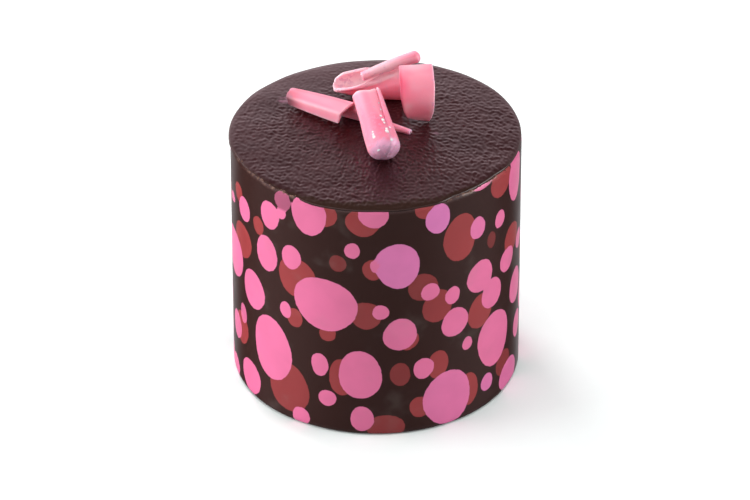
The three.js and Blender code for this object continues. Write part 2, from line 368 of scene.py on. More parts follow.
def waves(seed, count, lowest, highest, *coordinates):
    """A smooth random field near -1 to 1: the sum of `count` sines in random directions, each with a rate
    between lowest and highest turns per unit of the coordinates, and a random phase."""
    random = np.random.RandomState(seed)
    total = 0.0
    for _ in range(count):
        direction = random.normal(size=len(coordinates))
        direction *= random.uniform(lowest, highest) * 2 * math.pi / np.linalg.norm(direction)
        phase = random.uniform(0, 2 * math.pi)
        total = total + np.sin(sum(d * c for d, c in zip(direction, coordinates)) + phase)
    return total / math.sqrt(count)


def towards(angle, middle, power):
    """1 in the direction `middle` (degrees), falling smoothly to 0 behind it."""
    return ((1 + np.cos(angle - math.radians(middle))) / 2) ** power


def ring_points(radius, angle, height):
    """Points (radius cos angle, radius sin angle, height) round the cake's axis."""
    return np.stack(np.broadcast_arrays(radius * np.cos(angle), radius * np.sin(angle), height), axis=-1)


def turned_from(degrees, middle):
    """How far an angle is from another, from -180 to 180."""
    return (degrees - middle + 180) % 360 - 180


def quads(index):
    """Faces of a grid of vertex numbers: each cell's four corners in turn."""
    corners = index[:-1, :-1], index[1:, :-1], index[1:, 1:], index[:-1, 1:]
    return np.stack([c.ravel() for c in corners], axis=1)


def enclosed(vertices, faces):
    """Six times the volume inside quads, by the sum of corner . (corner x corner) over both halves of
    each."""
    a, b, c, d = (vertices[faces[:, k]] for k in range(4))
    return float(np.sum(a * np.cross(b, c)) + np.sum(a * np.cross(c, d)))


def add_mesh(name, vertices, faces, attributes=None, smooth_angle=None):
    """A mesh object at the origin from arrays in millimetres, its faces turned outwards. Quads that repeat
    a corner become triangles."""
    if enclosed(vertices, faces) < 0:
        faces = faces[:, ::-1]
    listed = [list(dict.fromkeys(f)) for f in faces.tolist()]
    mesh = bpy.data.meshes.new(name)
    mesh.from_pydata((vertices * MM).tolist(), [], [f for f in listed if len(f) > 2])
    for key, values in (attributes or {}).items():
        layer = mesh.attributes.new(key, "FLOAT", "POINT")
        layer.data.foreach_set("value", np.ascontiguousarray(values, np.float32))
    mesh.shade_smooth()
    if smooth_angle is not None:
        mesh.set_sharp_from_angle(angle=math.radians(smooth_angle))
    piece = bpy.data.objects.new(name, mesh)
    bpy.context.scene.collection.objects.link(piece)
    return piece


def with_poles(grid):
    """The values of grid[angle, step] in a row: all between the first and last steps, and then one of
    each."""
    return np.concatenate([grid[:, 1:-1].reshape(-1, *grid.shape[2:]), grid[0, :1], grid[0, -1:]])


def add_turned(name, bodies, attributes=None):
    """One mesh of closed bodies, each from points[angle, step]: the angle wraps round, and the first and
    last steps are single points, the poles. The attributes are on the grid of the only body."""
    vertices, faces, count = [], [], 0
    for points in bodies:
        turns, steps = points.shape[:2]
        between = turns * (steps - 2)
        index = np.arange(between).reshape(turns, steps - 2) + count
        pole = np.full((turns, 1), count + between)
        index = np.hstack([pole, index, pole + 1])
        faces.append(quads(np.vstack([index, index[:1]])))
        vertices.append(with_poles(points))
        count += between + 2
    flat = {key: with_poles(field) for key, field in (attributes or {}).items()}
    return add_mesh(name, np.vstack(vertices), np.vstack(faces), flat)


def ball_grid(turns, steps):
    """Points[angle, step] of a ball of radius 1, from its lower pole to its upper one."""
    turn = np.linspace(0, 2 * math.pi, turns, endpoint=False)
    rise = np.linspace(-math.pi / 2, math.pi / 2, steps)
    theta, phi = np.meshgrid(turn, rise, indexing="ij")
    return ring_points(np.cos(phi), theta, np.sin(phi))


def add_sheet(name, outer, inner, attributes, hidden):
    """A closed thin sheet between two grids of points: both faces, and a strip along each of the four
    edges. Both faces have the same attributes, but for those that `hidden` gives one value all over the
    inner face."""
    rows, columns = outer.shape[:2]
    count = rows * columns
    out = np.arange(count).reshape(rows, columns)
    back = out + count
    strips = [
        np.stack([out[0], back[0]]),
        np.stack([back[-1], out[-1]]),
        np.stack([back[:, 0], out[:, 0]]),
        np.stack([out[:, -1], back[:, -1]]),
    ]
    faces = np.vstack([quads(out), quads(back)[:, ::-1], *(quads(s) for s in strips)])
    vertices = np.vstack([outer.reshape(-1, 3), inner.reshape(-1, 3)])
    flat = {}
    for key, field in attributes.items():
        behind = np.full(count, hidden[key]) if key in hidden else field.ravel()
        flat[key] = np.concatenate([field.ravel(), behind])
    return add_mesh(name, vertices, faces, flat, SHARP_DEGREES)


def finish_piece(piece, material, slot, *nodes):
    """Gives a piece its material and body, and hides the solids that it stands for. The slot is not used."""
    piece.data.materials.append(material)
    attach(piece, BODY)
    if nodes:
        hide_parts(*nodes)


def rgba(values, shade=1.0):
    """A colour as the nodes take it, darker where the shade is below 1."""
    return (*(shade * v for v in values), 1.0)


def per_metre(millimetres):
    """How many bumps of a real size go in a metre, which is the scale of a noise on Object coordinates."""
    return round(1 / (millimetres * MM))


def feed(node, *values, **named):
    """Fills the inputs that a node shows, in order, and then the named ones, where _ stands for a space. A
    value is a number, a colour, a socket, or a node, of which the Fac output or else the first that shows
    is linked."""
    showing = [socket for socket in node.inputs if socket.enabled]
    pairs = [*zip(showing, values), *((node.inputs[key.replace("_", " ")], named[key]) for key in named)]
    for socket, value in pairs:
        if isinstance(value, bpy.types.Node):
            outputs = value.outputs
            value = outputs["Fac"] if "Fac" in outputs else next(o for o in outputs if o.enabled)
        if isinstance(value, bpy.types.NodeSocket):
            node.id_data.links.new(value, socket)
        else:
            socket.default_value = value


def add_node(tree, kind, settings, *values, **named):
    """Adds a shader node, sets its settings and fills its inputs."""
    node = tree.nodes.new("ShaderNode" + kind)
    for key, value in settings.items():
        setattr(node, key, value)
    feed(node, *values, **named)
    return node


def new_material(name, *attributes):
    """A node material with only its output and Principled shader. With it come what adds a node to it, the
    shader, the place in Object coordinates, and a reading of each named attribute of the mesh."""
    material = bpy.data.materials.new(name)
    material.use_nodes = True
    add = partial(add_node, material.node_tree)
    place = add("TexCoord", {}).outputs["Object"]
    read = {key: add("Attribute", {"attribute_name": key}) for key in attributes}
    return material, add, material.node_tree.nodes["Principled BSDF"], place, read


def ganache_material():
    """Dark chocolate ganache, poured and chilled: satin, browner where it is thin on the lip, with a fine
    grain that breaks up the shine. The lip's browner band reaches further in at the front as painted shade."""
    c = colours()
    material, add, shader, place, read = new_material("poured_dark_ganache", "lip", "smear")
    cloud = add("TexNoise", {}, place, per_metre(7.14), 3)
    blotch = add("MapRange", SMOOTH, cloud, 0.35, 0.65)
    body = add("Mix", COLOUR, blotch, rgba(c.ganache, 0.82), rgba(c.ganache))
    # Browner on the thin lip, and painted shade where that band widens at the front.
    body = add("Mix", COLOUR, read["lip"], body, rgba(c.ganache_lip_and_shade))
    body = add("Mix", COLOUR, read["smear"], body, rgba(c.curl_wet))
    # The tooth of set ganache is finer than a pixel, and is drawn coarse enough to show.
    grain = add("TexNoise", {}, place, per_metre(0.6667), 3, 0.6)
    rough = add("MapRange", SMOOTH, grain, 0.3, 0.7, 0.29, 0.37)
    bump = add("Bump", {}, Strength=0.25, Distance=0.06 * MM, Height=grain)
    feed(shader, Base_Color=body, Roughness=rough, Normal=bump, IOR=1.47)
    return material


def collar_material():
    """Tempered dark chocolate set against a printed sheet: smooth and softly glossy, with pink cocoa butter
    printed over red, and faint grey patches at random as a painted sheen. Each dot's edge is where its
    distance field crosses nothing, a little rough as printed colour is. The cut edge is rubbed pale in
    places."""
    c = colours()
    material, add, shader, place, read = new_material(
        "printed_dark_chocolate", "red_mm", "red_thin", "pink_mm", "pink_thin", "pink_violet", "cut"
    )
    bumps = add("TexNoise", {}, place, per_metre(1.111))
    wobble = add("Math", {"operation": "MULTIPLY_ADD"}, bumps, 0.34, -0.17)
    mottle = add("TexNoise", {}, place, per_metre(6.25))
    uneven = add("MapRange", SMOOTH, mottle, 0.3, 0.7, 0.0, 0.07)
    pink = add("Mix", COLOUR, read["pink_violet"], rgba(c.pink), rgba(c.violet))
    layers = rgba(c.chocolate)
    for which, ink in (("red", rgba(c.red)), ("pink", pink)):
        distance = add("Math", PLUS, read[which + "_mm"], wobble)
        cover = add("MapRange", SMOOTH, distance, -0.07, 0.07)
        thick = add("Math", {"operation": "SUBTRACT"}, 1.0, read[which + "_thin"])
        amount = add("Math", TIMES, cover, thick)
        printed = add("Mix", COLOUR, uneven, ink, rgba(c.chocolate))
        layers = add("Mix", COLOUR, amount, layers, printed)
    flakes = add("TexNoise", {}, place, per_metre(1.111), 3)
    worn = add("MapRange", SMOOTH, flakes, 0.45, 0.7)
    rubbed = add("Math", TIMES, read["cut"], worn)
    layers = add("Mix", COLOUR, rubbed, layers, rgba(c.crumb))
    # Painted sheen: faint grey patches at random, standing in for soft reflections.
    cloud = add("TexNoise", {}, place, per_metre(9.09), 3, 0.6)
    grey_sheen = add("MapRange", SMOOTH, cloud, 0.56, 0.72, 0.0, 0.08)
    layers = add("Mix", COLOUR, grey_sheen, layers, rgba(c.grey_sheen))
    sheen = add("TexNoise", {}, place, per_metre(8.33), 1)
    rough = add("MapRange", SMOOTH, sheen, 0.3, 0.7, 0.285, 0.33)
    swell = add("TexNoise", {}, place, per_metre(11.1))
    bump = add("Bump", {}, Strength=0.12, Distance=0.2 * MM, Height=swell)
    feed(shader, Base_Color=layers, Roughness=rough, Normal=bump, IOR=1.46)
    return material


def curl_material():
    """Pink coloured white chocolate, shaved off a block: soft satin, and light passes a little way through
    it. It is streaked along the run, violet, specked and shinier where it is wet, and stained brown where it
    has melted into the dark. Painted shade deepens its inner faces, soft patches and the parts near the
    ganache, and painted highlight makes its edges, folds, rolled lip and other patches paler, partly as the
    paler colour of thin chocolate."""
    c = colours()
    material, add, shader, place, read = new_material(
        "shaved_pink_chocolate", "streak", "deep", "inside", "pale", "wet", "stain"
    )
    body = rgba(c.curl)
    # Streaks at random; painted shade in soft patches and on inner faces; painted highlight on edges, folds
    # and lit patches, partly thin chocolate's paler colour; and wet parts.
    for key, low, high, least, most, tint in (
        ("streak", -1.0, 1.0, -0.05, 0.42, c.curl_deep),
        ("deep", 0.0, 1.0, 0.0, 1.0, c.curl_deep),
        ("inside", 0.0, 1.0, 0.0, 0.12, c.curl_deep),
        ("pale", 0.0, 1.0, 0.0, 0.85, c.curl_pale_lit),
        ("wet", 0.4, 1.0, 0.0, 0.8, c.curl_wet),
    ):
        amount = add("MapRange", SMOOTH, read[key], low, high, least, most)
        body = add("Mix", COLOUR, amount, body, rgba(tint))
    dust = add("TexNoise", {}, place, per_metre(0.909), 3)
    speck = add("MapRange", SMOOTH, dust, 0.52, 0.66, 0.0, 0.6)
    share = add("MapRange", SMOOTH, read["wet"], 0.0, 0.4, 0.08, 1.0)
    blot = add("Math", TIMES, speck, share)
    body = add("Mix", COLOUR, blot, body, rgba(c.curl_wet, 0.78))
    # Brown where melted, and painted shade where the curl comes near the ganache.
    body = add("Mix", COLOUR, read["stain"], body, rgba(c.stain))
    rough = add("MapRange", SMOOTH, read["wet"], 0.1, 0.9, 0.46, 0.29)
    # The grain of shaved chocolate is finer than a pixel, and is drawn coarse enough to show.
    grain = add("TexNoise", {}, place, per_metre(0.5556))
    bump = add("Bump", {}, Strength=0.2, Distance=0.08 * MM, Height=grain)
    feed(shader, Base_Color=body, Roughness=rough, Normal=bump, IOR=1.45)
    feed(shader, Subsurface_Weight=0.75, Subsurface_Radius=(1.0, 0.6, 0.65), Subsurface_Scale=2 * MM)
    return material


def water_material():
    """Condensed water, drawn mostly white and only partly clear, so that each bead shows as a painted
    highlight.
    """
    material, add, shader, place, _ = new_material("condensed_water")
    haze = add("TexNoise", {}, place, per_metre(1.111))
    amount = add("MapRange", SMOOTH, haze, 0.3, 0.7)
    tint = add("Mix", COLOUR, amount, (0.98, 0.93, 0.95, 1), (1, 0.98, 0.98, 1))
    # Mostly white and only partly clear: each bead is a painted highlight.
    feed(shader, Base_Color=tint, Roughness=0.04, IOR=1.33, Transmission_Weight=0.3)
    return material


def crumb_material():
    """Flakes broken off the collar's cut edge, where the dark chocolate has rubbed pale: dull and dry."""
    c = colours()
    material, add, shader, place, _ = new_material("broken_chocolate_crumb")
    flecks = add("TexNoise", {}, place, per_metre(1.429))
    amount = add("MapRange", SMOOTH, flecks, 0.35, 0.65)
    shade = add("Mix", COLOUR, amount, rgba(c.crumb, 0.35), rgba(c.crumb))
    feed(shader, Base_Color=shade, Roughness=0.7)
    return material


def floor_material():
    """Matt white paper sweep with a faint tooth."""
    material, add, shader, place, _ = new_material("white_paper")
    base = bpy.context.scene.cake_stage.floor
    # The tooth of paper is far finer, and is drawn coarse enough to show.
    tooth = add("TexNoise", {}, place, per_metre(3.33))
    faint = add("Mix", COLOUR, tooth, rgba(base), rgba(base, 0.98))
    feed(shader, Base_Color=faint, Roughness=0.9, Specular_IOR_Level=0.0)
    return material


def bared(angle):
    """1 where the collar's cut edge shows beside the ganache, at the front left and the right, and 0
    elsewhere."""
    front = turned_from(np.degrees(angle), FRONT)
    shares = 0
    for low, rising, high, falling in BARED_RANGES:
        shares = shares + smooth((front - low) / rising) * smooth((high - front) / falling)
    return shares


def edge_rise(angle):
    """How far in mm the collar's cut edge stands above COLLAR_TOP: a little everywhere and more where it is
    bared, plus slow waves round the side."""
    wave = sizes().collar_wave / MM * waves(17, 9, 0.3, 3.0, 6 * np.cos(angle), 6 * np.sin(angle))
    return EDGE_STAND + (BARED_STAND + 0.5 * wave) * bared(angle) + 0.2 * wave


def quarter(centre_x, centre_y, radius, from_degrees, steps=6):
    """Points of a quarter circle from an angle, turning left."""
    angle = np.radians(from_degrees + np.linspace(0, 90, steps + 1))
    return np.stack([centre_x + radius * np.cos(angle), centre_y + radius * np.sin(angle)], axis=1)


def ganache_surface(turns, rings):
    """Points[angle, step] of the cake: a half section (flat foot, straight core, rounded lip, level top)
    turned about the axis. The lip hangs out at the left and the back right, draws back where the collar is
    bared, and thins at the back left. The top stands highest in the middle and at the back right, and rolls
    off inside its rim, most at the front. Its grain is a hundred crossing waves of about one length, calmer
    at the rim and behind."""
    s = sizes()
    level = CAKE_HEIGHT - RELIEF_ROOM
    inner = LIP_RADIUS - LIP_ROUNDING
    ease = np.linspace(1, 0, rings + 1)[1:]
    section = np.vstack([
        [[0, 0]],
        quarter(CORE_RADIUS - FOOT_ROUNDING, FOOT_ROUNDING, FOOT_ROUNDING, -90),
        [[CORE_RADIUS, LIP_UNDERSIDE], [LIP_RADIUS - LIP_ROUNDING / 2, LIP_UNDERSIDE]],
        quarter(inner, level - LIP_ROUNDING, LIP_ROUNDING, 0),
        np.stack([inner * ease**0.9, np.full(rings, level)], axis=1),
    ])
    angle = np.linspace(0, 2 * math.pi, turns, endpoint=False)[:, None]
    radius, height = (np.broadcast_to(side, (turns, len(section))) for side in section.T)
    flat = height >= level - 1e-6
    crown = height >= LIP_UNDERSIDE
    outward = radius / LIP_RADIUS
    near_rim = outward**7
    front, behind = towards(angle, FRONT, 10), towards(angle, CALM_SIDE, 2)

    uneven = LIP_UNEVENNESS * waves(5, 6, 0.4, 2.2, np.cos(angle) * 2, np.sin(angle) * 2)
    bulge = s.lip_bulge / MM * towards(angle, LEFT, 3) + RIGHT_BULGE * towards(angle, BACK_RIGHT, 9)
    bulge = bulge + uneven - BARED_RETREAT * bared(angle)
    wide = radius + bulge * near_rim * crown
    x = wide * np.cos(angle)
    y = wide * np.sin(angle)

    height = height + s.crown_rise / MM * (1 - outward**3) * flat
    height = height + s.rim_tilt / MM * np.cos(angle - math.radians(HIGH_SIDE)) * outward * crown
    rolled = np.clip((radius - inner) / (1.0 + 1.4 * front) + 1, 0, 1) ** 2
    height = height - s.rim_roll / MM * (0.4 + 0.6 * front) * rolled * crown
    thin = s.rim_dip / MM / LIP_DEPTH * towards(angle, THIN_SIDE, 3) * near_rim
    z = np.where(crown, height + (LIP_UNDERSIDE - height) * thin, height)

    inland = smooth((LIP_RADIUS - radius) / 1.6)
    calm = 0.55 + 0.45 * smooth(0.75 + 0.4 * waves(21, 6, 0.02, 0.05, x, y))
    calm = calm * (1 - 0.6 * behind * smooth(1.6 * outward - 0.6))
    turns_per_mm = MM / s.grain_length
    grain = waves(7, 100, 0.35 * turns_per_mm, 1.8 * turns_per_mm, 1.15 * x, 0.8 * y)
    relief = s.grain_height / MM / 2 * grain * calm * (0.2 + 0.8 * inland)
    relief = relief + s.swell_height / MM * 0.4 * waves(9, 7, 0.03, 0.09, x, y) * inland
    z = z + np.where(flat, relief, 0)

    # The lip's band reaches further in at the front as painted shade, and wanders.
    lip_and_shade_reach = 0.5 + 2.3 * front + 0.6 * (0.3 + front) * waves(23, 12, 0.2, 0.9, x, y)
    lip = smooth((radius - inner - 0.3 + lip_and_shade_reach) / 0.9) * crown
    smear = np.zeros_like(x)
    for middle_x, middle_y, reach, strength in SMEARS:
        spot = 1 - np.hypot(x - middle_x, y - middle_y) / reach + 0.3 * waves(61, 8, 0.3, 0.9, x, y)
        smear = np.maximum(smear, strength * smooth(spot) * flat)
    return np.stack([x, y, z], axis=2), {"lip": np.broadcast_to(lip, x.shape), "smear": smear}


def dot_field(dots, around, up):
    """Signed distance in mm to the nearest dot's edge, plus inside, with that dot's violet and thinness. A
    dot is an ellipse whose edge is bent a little by two slow waves, and the distance is (1 - how far out) x
    its size."""
    best = np.full(around.shape, -99.0)
    violet = np.zeros(around.shape)
    thin = np.zeros(around.shape)
    girth = 2 * math.pi * CAKE_RADIUS
    random = np.random.RandomState(31)
    for degrees, height, width, tall, *ink in dots:
        tint, faint = ink or (0, 0)
        phase = random.uniform(0, 2 * math.pi, 2)
        for turn in range(0, 360, PRINT_REPEAT_DEGREES):
            across = around - math.radians(degrees + turn) * CAKE_RADIUS
            across = (across + girth / 2) % girth - girth / 2
            rise = up - height
            bearing = np.arctan2(rise, across)
            bent = 1 + 0.025 * np.sin(2 * bearing + phase[0]) + 0.02 * np.sin(3 * bearing + phase[1])
            out = np.hypot(across / (width / 2), rise / (tall / 2)) / bent
            field = (1 - out) * math.sqrt(width * tall) / 2
            nearer = field > best
            best = np.where(nearer, field, best)
            violet = np.where(nearer, tint, violet)
            thin = np.where(nearer, faint, thin)
    return best, violet, thin


def steps_between(span, count, rounding):
    """Places from 0 to 1 along a span, evenly spaced but for a few close ones where each end is rounded."""
    near = rounding / span * (1 - np.cos(np.linspace(0, math.pi / 2, 4)))
    middle = np.linspace(near[-1], 1 - near[-1], count)
    return np.concatenate([near[:-1], middle, 1 - near[-2::-1]])


def steps_to_cap(span, count, rounding, cap, turns=16):
    """Places from 0 to 1 along a span that starts as a rounded edge and ends in a dome `cap` long: on the
    dome they go by the sine of an even angle."""
    straight = steps_between(span, count, rounding)
    dome = cap / span
    bend = np.sin(np.linspace(0, math.radians(NEAR_POLE_DEGREES), turns))
    return np.concatenate([straight[straight < 1 - dome - 0.005], 1 - dome + dome * bend])


def rounded(distance, rounding, thickness):
    """Half the thickness at a distance in from an edge that is rounded by a quarter circle."""
    rounding = min(rounding, thickness * 0.45)
    inward = np.clip(distance / rounding, 0, 1)
    return thickness / 2 - rounding * (1 - np.sqrt(1 - (1 - inward) ** 2))


def along_run(values, v):
    """A straight run between two values, or a smooth curve that starts and ends at the outer two of three
    and is drawn towards the middle one."""
    if len(values) == 2:
        return values[0] * (1 - v) + values[1] * v
    return values[0] * (1 - v) ** 2 + 2 * values[1] * v * (1 - v) + values[2] * v**2


def curl_frame(shape):
    """Where a curl's own axes point: along its run, to its left, and up from it."""
    heading, slope = math.radians(shape["heading"]), math.radians(shape["slope"])
    level = math.cos(slope)
    along = np.array([math.cos(heading) * level, math.sin(heading) * level, math.sin(slope)])
    left = np.array([-math.sin(heading), math.cos(heading), 0.0])
    return along, left, np.cross(along, left)


def curl_middle(shape, u, v):
    """The sheet's middle surface for u from one free edge to the other and v along the run: along-run
    place, angle round the axis, distance from it, and the dome's share of it. The angle goes evenly from
    edge to edge, and the run from a start to a finish that are skewed, cut back and ragged. The distance is
    a smooth curve drawn by three radii, less half the thickness and the spiral's pitch, with folds and soft
    ridges along the run. The pitch fades towards the end, and past a full turn the sheet dives under its
    first edge. The dome's share falls from 1 to 0 at a capped end as a quarter ellipse does."""
    s = sizes()
    first = along_run(shape["from"], v)
    last = along_run(shape["to"], v)
    for place, width, degrees in shape.get("bites", ()):
        last = last - np.sign(last - first) * degrees * smooth(1 - np.abs(v - place) / width)
    turned = (last - first) * u
    degrees = first + turned
    angle = np.radians(degrees)
    span = shape["length"]
    dome = np.ones_like(v)
    if "capped" in shape:
        cap = shape["capped"] / span
        dome = np.sqrt(1 - np.clip((v - 1 + cap) / cap, 0, NEAR_POLE) ** 2)

    skew = shape.get("skew", (0, 0))
    corners = shape.get("corners", (0, 0, 0, 0))
    start = skew[0] * np.cos(angle) + corners[0] * (1 - u) ** 4 + corners[1] * u**4
    finish = skew[1] * np.cos(angle) - corners[2] * (1 - u) ** 4 - corners[3] * u**4
    if "dip" in shape:
        middle, width, depth = shape["dip"]
        start = start + depth * smooth(1 - np.abs(turned_from(degrees, middle)) / width)
    seed = shape["seed"]
    start = start + shape["ragged"] * waves(seed, 6, 0.3, 1.6, degrees / 60)
    finish = span + dome * (finish + shape["ragged"] * waves(seed + 40, 6, 0.3, 1.6, degrees / 60))
    run = start * (1 - v) + finish * v

    thickness = shape["thickness"]
    pitch = shape.get("pitch", 0) * (1 - smooth((v - PITCH_FADE[0]) / PITCH_FADE[1]))
    reach = along_run(shape["radius"], v) - pitch * np.abs(turned) / 360 - thickness / 2
    dive = smooth((np.abs(turned) - OVERLAP_DEGREES) / DIVE_DEGREES)
    reach = reach - (thickness + SHEET_CLEARANCE - pitch) * dive
    around = 1.2 * np.cos(angle), 1.2 * np.sin(angle)
    reach = reach + s.curl_ripple / MM * waves(seed + 80, 6, 0.3, 1.1, *around, v * 0.5)
    for middle, width, rise in shape.get("ridges", ()):
        reach = reach + rise * np.exp(-((turned_from(degrees, middle) / width) ** 2))
    return run, angle, reach, dome


def curl_place(shape, run, angle, reach, dome, v):
    """Points in the cake's frame from a run, an angle and a distance off the curl's bowed axis. In a dome
    the distance shrinks, and each layer ends as far behind the outermost as it lies under it."""
    along, left, up = curl_frame(shape)
    depth = along_run(shape["radius"], v) - reach
    run = run - depth * np.sqrt(1 - dome**2)
    reach = reach * dome
    rise = reach * np.cos(angle) + 4 * shape.get("bow", 0) * v * (1 - v)
    side = reach * np.sin(angle)
    return np.array(shape["at"]) + run[..., None] * along + side[..., None] * left + rise[..., None] * up


def curl_sheet(shape):
    """Outer and inner faces of a rolled shaving, and the values that its material reads. The faces are its
    middle surface with half the thickness added outwards and inwards from the axis, less near the edges so
    that they are rounded. The first free edge's rounding fades where the spiral closes, and a rolled lip
    lifts it above a groove."""
    rounding = sizes().edge_rounding / MM
    thickness = shape["thickness"]
    span = shape["length"]
    sweep = math.radians(abs(shape["to"][0] - shape["from"][-1])) * shape["radius"][1]
    across = steps_between(sweep, max(24, int(sweep / STEP_ACROSS)), rounding)
    if "capped" in shape:
        down = steps_to_cap(span, int(span / STEP_ALONG), rounding, shape["capped"])
    else:
        down = steps_between(span, int(span / STEP_ALONG), rounding)
    u, v = np.meshgrid(across, down, indexing="ij")
    run, angle, reach, dome = curl_middle(shape, u, v)
    degrees = np.degrees(angle)
    from_first, from_last = u * sweep, (1 - u) * sweep
    from_start, from_end = v * span, (1 - v) * span

    half = np.minimum(rounded(from_start, rounding, thickness), rounded(from_last, rounding, thickness))
    cut = thickness / 2 - rounded(from_first, rounding, thickness)
    if "pitch" in shape:
        cut = cut * (1 - smooth((v - EDGE_FADE[0]) / EDGE_FADE[1]))
    # Free edges painted pale: painted highlight, partly the paler colour of thin chocolate.
    pale = shape.get("edge", PALE_EDGE_LIGHT) * smooth(1 - np.minimum(from_first, from_last) / PALE_EDGE_REACH)
    fringe = WET_WANDER * waves(shape["seed"] + 3, 6, 0.3, 1.2, degrees / 60, v * 2)
    if "capped" not in shape:
        half = np.minimum(half, rounded(from_end, rounding, thickness))
        pale = np.maximum(pale, shape.get("end_pale", PALE_EDGE_LIGHT) * smooth(1 - from_end / PALE_END_REACH))
    # The pale band at the start is painted light in the same way.
    if "rim" in shape:
        pale = np.maximum(pale, 0.6 * smooth(1 - (from_start + 0.4 * fringe) / shape["rim"]))
    if "lip" in shape:
        lips = from_first / shape["lip"]
        reach = reach + ROLL_RISE * smooth(2 - lips) - ROLL_GROOVE * smooth(1 - np.abs(lips - 2.6))
        # The rolled lip's band is painted pale as a highlight.
        pale = np.maximum(pale, (0.25 + 0.45 * smooth((v - 0.2) / 0.4)) * smooth((2.2 - lips) / 0.6))
    # High folds are painted pale as highlights.
    for middle, width, rise in shape.get("ridges", ()):
        if rise > PALE_FOLD_HEIGHT:
            pale = np.maximum(pale, PALE_EDGE_LIGHT * np.exp(-((turned_from(degrees, middle) / width) ** 2)))
    outer_reach = reach + half - cut
    inner_reach = np.maximum(np.minimum(reach - half + cut, outer_reach), NEAR_AXIS)
    outer = curl_place(shape, run, angle, outer_reach, dome, v)
    inner = curl_place(shape, run, angle, inner_reach, dome, v)

    start_reach, start_wet, end_reach, end_wet = shape["wet"]
    wet = np.full_like(u, shape.get("damp", 0))
    wet = np.maximum(wet, start_wet * smooth((start_reach + fringe - from_start) / WET_FADE))
    wet = np.maximum(wet, end_wet * smooth((end_reach + fringe - from_end) / WET_FADE))
    deep = np.zeros_like(u)
    # Tones: soft patches of painted shade, and painted light where negative.
    for place, middle, reach_mm, reach_degrees, strength in shape.get("tones", ()):
        spot = ((run - place) / reach_mm) ** 2 + (turned_from(degrees, middle) / reach_degrees) ** 2
        deep = deep + strength * np.exp(-spot)
    height = outer[..., 2]
    melt_reach, melt = shape.get("melted", (1, 0))
    sunk = 0.3 + 0.7 * smooth((height[0, 0] + MELT_TOP - height) / MELT_DEPTH)
    melt = melt * smooth(1 - from_start / melt_reach) * sunk
    values = {
        "wet": wet,
        "streak": waves(shape["seed"] + 7, 6, 0.6, 2.4, degrees / 60, v * 0.3),
        # Negative tones add painted light to the pale edges.
        "pale": np.maximum(pale, -deep),
        "deep": np.maximum(deep, 0),
        # Painted shade near the ganache, and the melted start.
        "stain": np.maximum(0.6 * smooth((LOW_SHADE_TOP - height) / LOW_SHADE_DEPTH), melt),
        # Painted shade for inner faces: 0 here, and 1 on the inner face.
        "inside": np.zeros_like(u),
    }
    return outer, inner, values


class CAKE_OT_ganache(Operator):
    """Adds the cake with its finely grained ganache top"""

    bl_idname = "cake.add_ganache"
    bl_label = "Add ganache"

    def execute(self, context):
        points, values = ganache_surface(turns=700, rings=124)
        piece = add_turned("ganache", [points], values)
        finish_piece(piece, ganache_material(), "ganache", "ganache_cake")
        return {"FINISHED"}


class CAKE_OT_collar(Operator):
    """Adds the printed chocolate collar"""

    bl_idname = "cake.add_collar"
    bl_label = "Add collar"

    def execute(self, context):
        """Points at (radius, angle, height) from one side of the seam to the other: the radius grows
        towards the foot and bows a little, and the top edge waves up and down."""
        half_seam = COLLAR_SEAM / 2 / CAKE_RADIUS
        turn = np.linspace(math.pi / 2 + half_seam, math.pi * 5 / 2 - half_seam, 401)
        angle, v = np.meshgrid(turn, np.linspace(0, 1, 97), indexing="ij")
        z = FIT_GAP + (COLLAR_TOP - FIT_GAP) * v + edge_rise(angle) * smooth((v - 0.9) / 0.1)
        bow = COLLAR_BOW * waves(19, 5, 0.1, 0.5, 3 * np.cos(angle), 3 * np.sin(angle), v)
        from_edge = np.minimum(v, 1 - v) * CAKE_HEIGHT
        edge = rounded(from_edge, 0.3, COLLAR_THICKNESS) - COLLAR_THICKNESS / 2
        outer = ring_points(CAKE_RADIUS + COLLAR_FLARE * (1 - v) + bow + edge, angle, z)
        inner = ring_points(CAKE_RADIUS - COLLAR_THICKNESS, angle, z)
        around = (angle + math.pi / 2) * CAKE_RADIUS
        pink, violet, pink_thin = dot_field(PINK_DOTS, around, z)
        red, _, red_thin = dot_field(RED_DOTS, around, z)
        cut = smooth((0.25 - (1 - v) * CAKE_HEIGHT) / 0.2) * (0.1 + 0.9 * bared(angle))
        values = {
            "pink_mm": pink,
            "pink_violet": violet,
            "pink_thin": pink_thin,
            "red_mm": red,
            "red_thin": red_thin,
            "cut": cut,
        }
        piece = add_sheet("collar", outer, inner, values, {"pink_mm": UNPRINTED, "red_mm": UNPRINTED})
        finish_piece(piece, collar_material(), "collar", "printed_collar")
        return {"FINISHED"}


class CAKE_OT_curls(Operator):
    """Adds the six pink chocolate curls"""

    bl_idname = "cake.add_curls"
    bl_label = "Add curls"

    def execute(self, context):
        material = curl_material()
        for node, shape in CURLS.items():
            # The inner face takes the inside value, a little painted shade all over.
            piece = add_sheet(node + "_shaving", *curl_sheet(shape), {"inside": 1.0})
            finish_piece(piece, material, "pink_chocolate", node)
        return {"FINISHED"}


